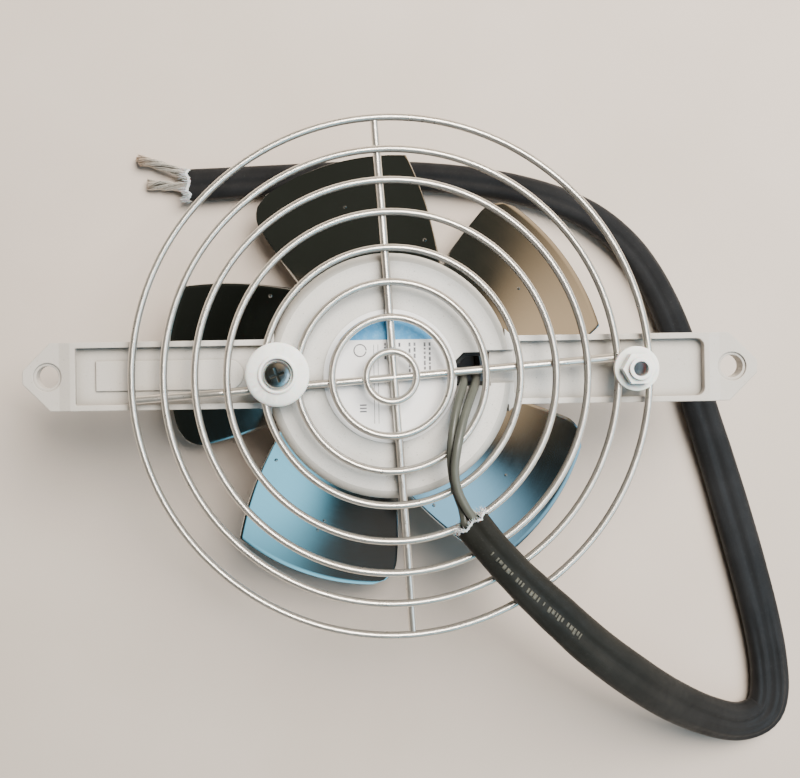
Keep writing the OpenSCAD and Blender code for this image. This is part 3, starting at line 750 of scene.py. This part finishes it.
def make_fray(name, outer, inner, outward, count, reach, seed):
    """The pale glass-fibre rim of a cut end, and the short broken fibres that stand out of it."""
    draw = random.Random(seed)
    centre = sum(outer, Vector()) / len(outer)
    parts = [fray_rim(outer, inner, outward, reach / 3)]
    for _ in range(count):
        k = draw.randrange(len(outer))
        root = outer[k].lerp(centre, draw.uniform(0.02, 0.12)) - outward * 0.0006
        away = (outer[k] - centre).normalized()
        length = reach * draw.uniform(0.4, 1.0)
        bend = away * draw.uniform(-0.3, 0.5) + outward * 1.0
        tip = root + (bend.normalized() + Vector(draw.uniform(-0.3, 0.3) for _ in range(3))) * (
            length + 0.0006)
        middle = root.lerp(tip, 0.5) + Vector(draw.uniform(-1, 1) for _ in range(3)) * 0.00015
        width = draw.uniform(0.00006, 0.00013)
        line = smooth_line([root, middle, tip], 0.0003)
        parts.append(tube_mesh("thread", line, lambda t, w=width: w * (1 - 0.6 * t), 5))
    return add_piece(name, joined(name, parts), glass_fibre(), "standing")


def fray_rim(outer, inner, outward, overlap):
    """A closed pale band over the cut face of the sleeve."""
    n = len(outer)
    middle = sum(outer, Vector()) / n
    points = []
    for depth in (-overlap, 0.0001):
        points += [p + outward * depth + (p - middle).normalized() * 0.00004 for p in outer]
    for depth in (0.0001, -overlap):
        points += [p + outward * depth for p in inner]
    faces = []
    for row in range(4):
        for k in range(n):
            a, b = row * n + k, row * n + (k + 1) % n
            other = (row + 1) % 4 * n
            faces.append((a, b, other + (k + 1) % n, other + k))
    return mesh_from("rim", points, faces, 60)


def lead_line(route, sleeve, side_shift, end_route):
    """A lead's centre line: from the slot, through the sleeve, to where its end is stripped."""
    frames = level_frames(sleeve)
    inside = [p + side * side_shift for p, (_, side, _) in zip(sleeve, frames)]
    keep = inside[8:-4:6]
    first = in_metres(route)
    last = in_metres(end_route)[:1]
    return smooth_line(first + keep + last, 2 * MM)


def make_strands(name, node, route, seed, groups=4, wires=7):
    """The stripped end of a lead: a few twisted groups of fine wires, loosening at the tip."""
    draw = random.Random(seed)
    line = smooth_line(in_metres(route), 0.6 * MM)
    frames = carried_frames(line)
    made = []
    for g in range(groups):
        first = 2 * math.pi * g / groups + draw.uniform(-0.2, 0.2)
        loose = draw.uniform(0.8, 1.5)
        reach = len(line) - draw.randrange(0, 4)
        for w in range(wires):
            turn = 2 * math.pi * w / (wires - 1) + draw.uniform(-0.2, 0.2)
            path = []
            for i in range(reach - draw.randrange(0, 2)):
                t = i / (len(line) - 1)
                big = first + 5.2 * t
                small = turn + 9.5 * t
                wide = 1.0 * MM * (0.8 + 0.25 * loose * t * t)
                tight = (0.0 if w == 0 else 0.4 * MM) * (1 + 0.5 * loose * t ** 6)
                _, side, up = frames[i]
                path.append(line[i] + side * (wide * math.cos(big) + tight * math.cos(small))
                            + up * (0.7 * wide * math.sin(big) + tight * math.sin(small)))
            made.append(tube_mesh("wire", path, 0.23 * MM, 7))
    mesh = joined(name, made)
    shade(mesh, 50)
    return add_piece(name, mesh, MATERIALS["bare_strands"], "standing", [node])


def make_lead(name, node, route, sleeve, side_shift, end_route):
    line = lead_line(route, sleeve, side_shift, end_route)
    piece = add_piece(name, tube_mesh(name, line, LEAD_D / 2, 20), MATERIALS["lead_insulation"],
                      "standing", [node])


def make_cords():
    sleeve = smooth_line(in_metres(SLEEVE_ROUTE), SLEEVE_STEP)
    make_sleeve(sleeve)
    strands_a = make_strands("strands_a", "lead_end_a", END_A_ROUTE, 5)
    strands_b = make_strands("strands_b", "lead_end_b", END_B_ROUTE, 9)
    make_lead("insulated_lead_a", "lead_a", LEAD_A_ROUTE, sleeve, 1.3 * MM, END_A_ROUTE)
    make_lead("insulated_lead_b", "lead_b", LEAD_B_ROUTE, sleeve, -1.3 * MM, END_B_ROUTE)


# ---- blades ---------------------------------------------------------------------------------

BLADES = 5
BLADE_START = -12
BLADE_SPAN = 73
BLADE_SWEEP = 23.5
BLADE_DEPTH = 20 * MM
BLADE_T = 1.2 * MM
BLADE_TOP = -2.6 * MM
TAB_H = 4.5 * MM
CORNER_R = 7 * MM
TIP_R = 65 * MM
ROOT_R = 33.1 * MM + BLADE_T / 2
BEND_R = 1.2 * MM


def blade_upper(r):
    return BLADE_SWEEP * ((r - ROOT_R) / (TIP_R - ROOT_R)) ** 0.7


def blade_lower(r):
    cut = 0.0
    if r > TIP_R - CORNER_R:
        rise = math.sqrt(max(0.0, CORNER_R ** 2 - (r - TIP_R + CORNER_R) ** 2))
        cut = math.degrees((CORNER_R - rise) / r)
    return BLADE_SPAN - 4.5 * (r - ROOT_R) / (TIP_R - ROOT_R) - cut


def blade_height(angle):
    t = angle / BLADE_SPAN
    return BLADE_TOP - BLADE_T / 2 - (BLADE_DEPTH - BLADE_T) * (t + 0.35 * t * (1 - t))


def blade_point(r, share, drop=0.0):
    """A point of the middle of the sheet; share is 0 at the upper edge and 1 at the lower one."""
    upper = blade_upper(r)
    angle = upper + (blade_lower(r) - upper) * share
    a = math.radians(angle)
    z = max(blade_height(angle) - drop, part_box("blade_1")[0].z + 0.3 * MM)
    return Vector((r * math.cos(a), r * math.sin(a), z))


def blade_mesh():
    """One blade at angle 0: a cambered sheet that bends down into its welding tab."""
    steps = 48
    rows = [(ROOT_R, TAB_H), (ROOT_R, 2.6 * MM), (ROOT_R, BEND_R)]
    for a in (30, 60, 90):
        out = BEND_R * (1 - math.cos(math.radians(a)))
        rows.append((ROOT_R + out, BEND_R * (1 - math.sin(math.radians(a)))))
    first = rows[-1][0]
    reach = 22
    rows += [(first + (TIP_R - first) * (i + 1) / reach, 0.0) for i in range(reach)]
    points = [blade_point(r, j / steps, drop) for r, drop in rows for j in range(steps + 1)]
    n = steps + 1
    faces = [(i * n + j, i * n + j + 1, (i + 1) * n + j + 1, (i + 1) * n + j)
             for i in range(len(rows) - 1) for j in range(steps)]
    sheet = mesh_from("sheet", points, faces, 180)
    layer = sheet.uv_layers.new(name="sheet")
    for loop in sheet.loops:
        co = sheet.vertices[loop.vertex_index].co
        angle = math.atan2(co.y, co.x)
        layer.data[loop.index].uv = (angle * 0.05, math.hypot(co.x, co.y))
    thick = with_modifiers("blade_sheet", sheet,
                           ("SOLIDIFY", {"thickness": BLADE_T, "offset": 0.0}),
                           bevel(0.18 * MM, 2, 50))
    shade(thick, 40)
    return thick


def dome(r, angle, size, height):
    """A small pressed pip on the upper face of the sheet."""
    at = math.radians(angle)
    centre = Vector((r * math.cos(at), r * math.sin(at), blade_height(angle) + BLADE_T / 2))
    slope = (blade_height(angle + 1) - blade_height(angle - 1)) / (2 * math.radians(1) * r)
    normal = Vector((slope * math.sin(at), -slope * math.cos(at), 1)).normalized()
    side = normal.cross(Vector((math.cos(at), math.sin(at), 0))).normalized()
    other = side.cross(normal)
    points, faces = [centre + normal * height], []
    rings, sides = 4, 16
    for i in range(1, rings + 1):
        a = math.pi / 2 * i / rings
        for k in range(sides):
            b = 2 * math.pi * k / sides
            points.append(centre + normal * (height * (1.25 * math.cos(a) - 0.25))
                          + side * (size * math.sin(a) * math.cos(b))
                          + other * (size * math.sin(a) * math.sin(b)))
    for k in range(sides):
        m = (k + 1) % sides
        faces.append((0, 1 + k, 1 + m))
        for i in range(rings - 1):
            faces.append((1 + i * sides + k, 1 + (i + 1) * sides + k,
                          1 + (i + 1) * sides + m, 1 + i * sides + m))
    faces.append(tuple(1 + (rings - 1) * sides + k for k in reversed(range(sides))))
    return mesh_from("pip", points, faces, 60)


def make_blades():
    pips = [dome(40.8 * MM, 13, 0.6 * MM, 0.22 * MM), dome(48 * MM, 43.1, 0.5 * MM, 0.2 * MM),
            dome(51.3 * MM, 42.2, 0.5 * MM, 0.2 * MM)]
    sheet = blade_mesh()
    for k in range(BLADES):
        mesh = joined(f"blade_{k + 1}", [sheet, *pips])
        mesh.transform(Matrix.Rotation(math.radians(BLADE_START + 360 // BLADES * k), 4, "Z"))
        shade(mesh, 40)
        node = f"blade_{k + 1}"
        add_piece(node + "_sheet", mesh, MATERIALS["blade_sheet"], "impeller",
                  [node])


# ---- guard ----------------------------------------------------------------------------------

SPOKE_D = 2.2 * MM
RING_D = 2.0 * MM
SPOKES = {"guard_spoke_long": (4.2, -0.4 * MM), "guard_spoke_cross": (93.4, -0.9 * MM)}


def guard_rings():
    """(radius of the wire's centre line, height of its centre) of each ring."""
    out = []
    for i in range(1, 9):
        low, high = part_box(f"guard_ring_{i}")
        out.append(((high.x - low.x - RING_D) / 2, (low.z + high.z) / 2))
    return out


def make_spoke(node, turn, offset, rings):
    low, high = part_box(node)
    top = high.z - SPOKE_D / 2
    end_z = low.z + SPOKE_D / 2 + 0.4 * MM
    mid = rings[4][0] + 4 * MM
    out = rings[7][0] + 0.8 * MM
    half = [(mid - 8 * MM, top), (mid - 3 * MM, top), (mid + 3 * MM, top - 0.4 * MM),
            (mid + 9 * MM, top - 1.1 * MM), (out, end_z + 0.75 * MM)]
    route = [(-x, offset, z) for x, z in reversed(half)] + [(x, offset, z) for x, z in half]
    line = smooth_line(route, 1.5 * MM)
    mesh = tube_mesh(node, line, SPOKE_D / 2, 24)
    mesh.transform(Matrix.Rotation(math.radians(turn), 4, "Z"))
    mesh = with_modifiers(node, mesh, bevel(0.25 * MM, 2, 60))
    shade(mesh, 40)
    add_piece(node + "_wire", mesh, MATERIALS["guard_wire"], "standing", [node])


def weld_nugget(centre, size, seed):
    """A small uneven lump of weld."""
    bm = bmesh.new()
    bmesh.ops.create_icosphere(bm, subdivisions=3, radius=1.0)
    for v in bm.verts:
        swell = 1 + 0.28 * noise.noise(v.co * 1.4 + Vector((seed, 0, 0)))
        v.co = Vector(a * b for a, b in zip(v.co * swell, size))
    bmesh.ops.translate(bm, verts=bm.verts, vec=centre)
    mesh = bpy.data.meshes.new("nugget")
    bm.to_mesh(mesh)
    bm.free()
    return mesh


def make_guard():
    rings = guard_rings()
    welds = []
    for node, (turn, offset) in SPOKES.items():
        make_spoke(node, turn, offset, rings)
        for i, (radius, z) in enumerate(rings):
            for side in (-1, 1):
                x = side * math.sqrt(radius ** 2 - offset ** 2)
                place = Matrix.Rotation(math.radians(turn), 3, "Z") @ Vector((x, offset, 0))
                place.z = z - RING_D / 2
                size = (1.15 * MM, 1.15 * MM, 0.62 * MM)
                welds.append(weld_nugget(place, size, i * 7 + turn + side))
    mesh = joined("guard_welds", welds)
    shade(mesh, 180)
    add_piece("guard_welds", mesh, MATERIALS["guard_wire"], "standing")


# ---- label ----------------------------------------------------------------------------------

def flat_shape(outline, z, depth):
    """A thin plate from an outline in X and Y."""
    n = len(outline)
    points = [(x, y, z) for x, y in outline] + [(x, y, z + depth) for x, y in outline]
    faces = [tuple(reversed(range(n))), tuple(range(n, 2 * n))]
    faces += [(k, (k + 1) % n, n + (k + 1) % n, n + k) for k in range(n)]
    return mesh_from("plate", points, faces, 30)


def bar_outline(x, y, w, h):
    return [(x, y), (x + w, y), (x + w, y + h), (x, y + h)]


def arc_band(x, y, r_in, r_out, a0, a1, steps=40):
    arc = [math.radians(a0 + (a1 - a0) * k / steps) for k in range(steps + 1)]
    outer = [(x + r_out * math.cos(a), y + r_out * math.sin(a)) for a in arc]
    inner = [(x + r_in * math.cos(a), y + r_in * math.sin(a)) for a in reversed(arc)]
    return outer + inner


def make_label_print():
    """Generic print: a plain blue field, rules, a ring, three bars and rows of dashes."""
    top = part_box("rating_label")[1].z
    ink = 0.02 * MM
    chord, r = 10.1 * MM, 17.3 * MM
    a = math.degrees(math.asin(chord / r))
    arc = [math.radians(a + (180 - 2 * a) * k / 60) for k in range(61)]
    field = flat_shape([(r * math.cos(t), r * math.sin(t)) for t in arc], top, ink)
    blue = label_ink("label_blue", (0.07, 0.27, 0.50), (0.16, 0.38, 0.60))
    add_piece("label_blue_field", field, blue, "standing")
    marks = [arc_band(-8.3 * MM, 7.2 * MM, 1.5 * MM, 1.85 * MM, 0, 350)]
    marks += [bar_outline(x * MM, -13.2 * MM, 0.16 * MM, 22 * MM) for x in (-4.6, -3.4)]
    marks += [bar_outline(-8.6 * MM, y * MM, 1.9 * MM, 0.4 * MM) for y in (-8.2, -9.1, -10.0)]
    draw = random.Random(4)
    for x in (-1.6, 0.4, 2.4, 5.2, 6.6, 9.4, 10.8):
        y = 9.2
        while y > (5.2 if x < 4 else 1.5):
            dash = draw.uniform(0.5, 1.3)
            marks.append(bar_outline(x * MM, (y - dash) * MM, 0.55 * MM, dash * MM))
            y -= dash + draw.uniform(0.35, 0.6)
    mesh = joined("label_marks", [flat_shape(m, top, ink) for m in marks])
    grey = label_ink("label_grey", (0.10, 0.10, 0.11), (0.30, 0.30, 0.31))
    add_piece("label_marks", mesh, grey, "standing")


# ---- CAD nodes ------------------------------------------------------------------------------

def dress_frame():
    """Every CAD node gets its slot's material, and a few that show get rounded edges."""
    for name, node in frame["nodes"].items():
        node.data.materials.clear()
        node.data.materials.append(MATERIALS[SLOT[name]])
    rounded("clamp_washer", 0.2 * MM)
    rounded("clamp_screw", 0.12 * MM)
    rounded("stud_washer", 0.1 * MM)
    rounded("rotor_cup", 0.2 * MM)
    rounded("lead_grommet", 0.15 * MM)


# ---- stage ----------------------------------------------------------------------------------

LIGHT_DISTANCE = 0.9
NOT_REFLECTED = ("guard", "bracket")  # how the names of the pieces begin

def make_floor():
    """A wide pale table top under the fan."""
    look = Look("table_top", Specular_IOR_Level=0.3)
    cloud = look.span(look.noise(14, 4), 0.3, 0.7)
    look.color(look.mix(cloud, (0.49, 0.425, 0.37), (0.53, 0.465, 0.41)))
    look.rough(look.span(look.noise(300), 0.3, 0.7, 0.5, 0.65))
    look.bump(look.noise(900, 3), 0.00002)
    half = 3.0
    mesh = mesh_from("table_top", [(-half, -half, TABLE_Z), (half, -half, TABLE_Z),
                                   (half, half, TABLE_Z), (-half, half, TABLE_Z)], [(0, 1, 2, 3)])
    floor = bpy.data.objects.new("table_top", mesh)
    mesh.materials.append(look.material)
    bpy.context.scene.collection.objects.link(floor)


def soft_light(name, azimuth, elevation, distance, size, power, shade):
    """A rectangular light that faces the object, azimuth counted from +X towards +Y."""
    data = bpy.data.lights.new(name, "AREA")
    data.shape = "RECTANGLE"
    data.size, data.size_y = size
    data.energy = power
    data.color = shade
    light = bpy.data.objects.new(name, data)
    a, e = math.radians(azimuth), math.radians(elevation)
    toward = Vector((math.cos(a) * math.cos(e), math.sin(a) * math.cos(e), math.sin(e)))
    light.location = toward * distance
    light.rotation_euler = toward.to_track_quat("Z", "Y").to_euler()
    bpy.context.scene.collection.objects.link(light)
    return light


class Surround(Look):
    """The colours of the room around the table, by direction."""

    def __init__(self):
        self.world = bpy.data.worlds.new("surround")
        self.world.use_nodes = True
        self.tree = self.world.node_tree
        self.place = self.tree.nodes.new("ShaderNodeTexCoord").outputs["Generated"]

    def toward(self, azimuth, elevation, near, far):
        """1 within near degrees of a direction, and 0 beyond far degrees."""
        a, e = math.radians(azimuth), math.radians(elevation)
        way = (math.cos(a) * math.cos(e), math.sin(a) * math.cos(e), math.sin(e))
        dot = self.node("VectorMath", self.place, way, operation="DOT_PRODUCT").outputs["Value"]
        return self.span(dot, math.cos(math.radians(far)), math.cos(math.radians(near)))

    def above(self, low, high):
        """0 below one elevation and 1 above the other, in degrees."""
        z = self.node("SeparateXYZ", self.place).outputs["Z"]
        return self.span(z, math.sin(math.radians(low)), math.sin(math.radians(high)))


def make_world():
    """A made-up dim room: a dark ceiling, two sky-lit windows and a warm lamp-lit wall.

    Their places and colours are fitted so that the blades' reflections look like the photo's.
    """
    room = Surround()
    ceiling = room.mix(room.toward(160, 63, 12, 40), (0.012, 0.013, 0.010), (0.046, 0.048, 0.038))
    ceiling = room.mix(room.toward(330, 61, 3, 14), ceiling, (0.085, 0.078, 0.07))
    shade = room.mix(room.above(14, 32), (0.27, 0.255, 0.235), ceiling)
    shade = room.mix(room.toward(300, 42, 9.5, 18), shade, (0.50, 1.38, 1.85))
    shade = room.mix(room.toward(8, 41, 10, 18), shade, (0.52, 1.08, 1.48))
    shade = room.mix(room.toward(70, 50, 9, 23), shade, (1.0, 0.72, 0.44))
    background = room.tree.nodes["Background"]
    room.tree.links.new(shade, background.inputs["Color"])
    bpy.context.scene.world = room.world


def shine_on(light, wanted):
    """Lets a light reach only the pieces whose names are wanted."""
    lit = bpy.data.collections.new(light.name + "_reach")
    for piece in bpy.context.scene.objects:
        if piece.type == "MESH" and wanted(piece.name):
            lit.objects.link(piece)
    light.light_linking.receiver_collection = lit


def is_guard_or_lead(name):
    return name.startswith(("guard", "insulated"))


def is_no_blade(name):
    return not name.startswith("blade_")


def make_lights():
    """The room and three lights. The blades show only the room, since a light would print its
    outline on them, and the guard and bracket are left out of their reflections as well."""
    make_world()
    key = soft_light("key", 55, 52, LIGHT_DISTANCE, (0.7, 0.7), 36, (1.0, 0.94, 0.86))
    key.visible_glossy = False
    shine_on(key, is_no_blade)
    sky_fill = soft_light("sky_fill", 335, 40, LIGHT_DISTANCE, (0.6, 0.4), 2.4, (0.66, 0.84, 1.0))
    shine_on(sky_fill, is_no_blade)
    overhead = soft_light("overhead", 50, 74, LIGHT_DISTANCE, (0.3, 0.3), 9, (1.0, 0.95, 0.89))
    shine_on(overhead, is_guard_or_lead)
    for piece in bpy.context.scene.objects:
        if piece.name.startswith(NOT_REFLECTED):
            piece.visible_glossy = False


# ---- the scene ------------------------------------------------------------------------------

make_camera()
make_cords()
dress_frame()
make_blades()
make_guard()
make_label_print()
make_floor()
make_lights()
